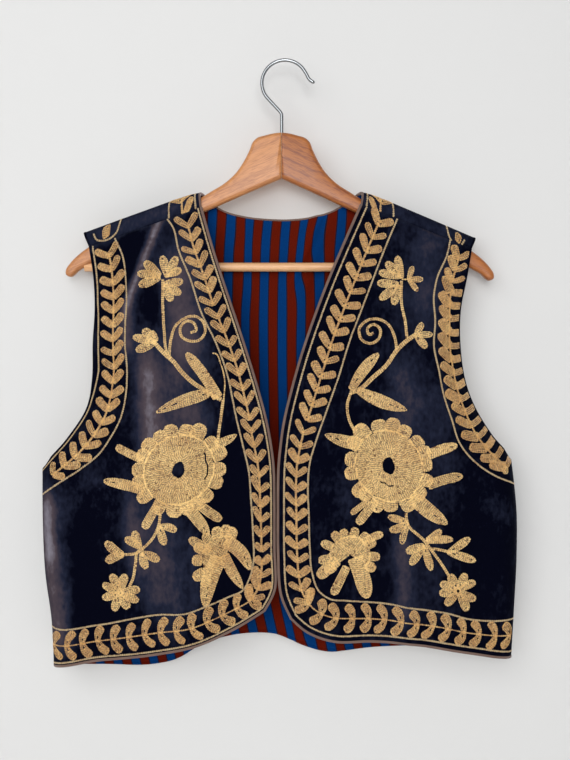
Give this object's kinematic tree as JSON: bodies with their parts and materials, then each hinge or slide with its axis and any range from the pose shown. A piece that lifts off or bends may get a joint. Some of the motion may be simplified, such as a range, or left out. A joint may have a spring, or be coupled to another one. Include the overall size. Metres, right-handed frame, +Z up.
{
  "type": "waistcoat on a hanger",
  "caption": "Short open-fronted sleeveless waistcoat with rounded front hems and a striped lining, hanging flat on a flat wooden hanger with a trouser bar and a wire hook.",
  "frame": {"origin": "inside of the hook's top, where the hanger hangs on its nail", "axes": "+X towards the wearer's left, +Y towards the wall behind the back of the waistcoat, +Z up"},
  "size_m": [0.4909, 0.0622, 0.6321],
  "materials": {
    "velvet": "dark blue cotton velvet, short nap, pressed paler where it is creased",
    "lining": "plain woven cotton with upright blue and rust stripes",
    "binding": "narrow brown woven tape with a dull sheen",
    "gold_thread": "dull gold cotton thread in close rows of chain stitch",
    "hanger_wood": "flat-sawn reddish wood, thin satin varnish",
    "bar_wood": "pale turned dowel, satin",
    "hook_wire": "bright plated wire"
  },
  "bodies": {
    "root": {"right_front": "velvet", "left_front": "velvet", "back": "velvet", "back_lining": "lining", "right_front_edge_binding": "binding", "left_front_edge_binding": "binding", "right_front_armhole_binding": "velvet", "left_front_armhole_binding": "velvet", "right_back_armhole_binding": "velvet", "left_back_armhole_binding": "velvet", "back_neck_binding": "binding", "back_hem_binding": "binding", "hanger_right_arm": "hanger_wood", "hanger_left_arm": "hanger_wood", "hanger_bar": "bar_wood", "hanger_hook": "hook_wire"}
  },
  "joints": []
}
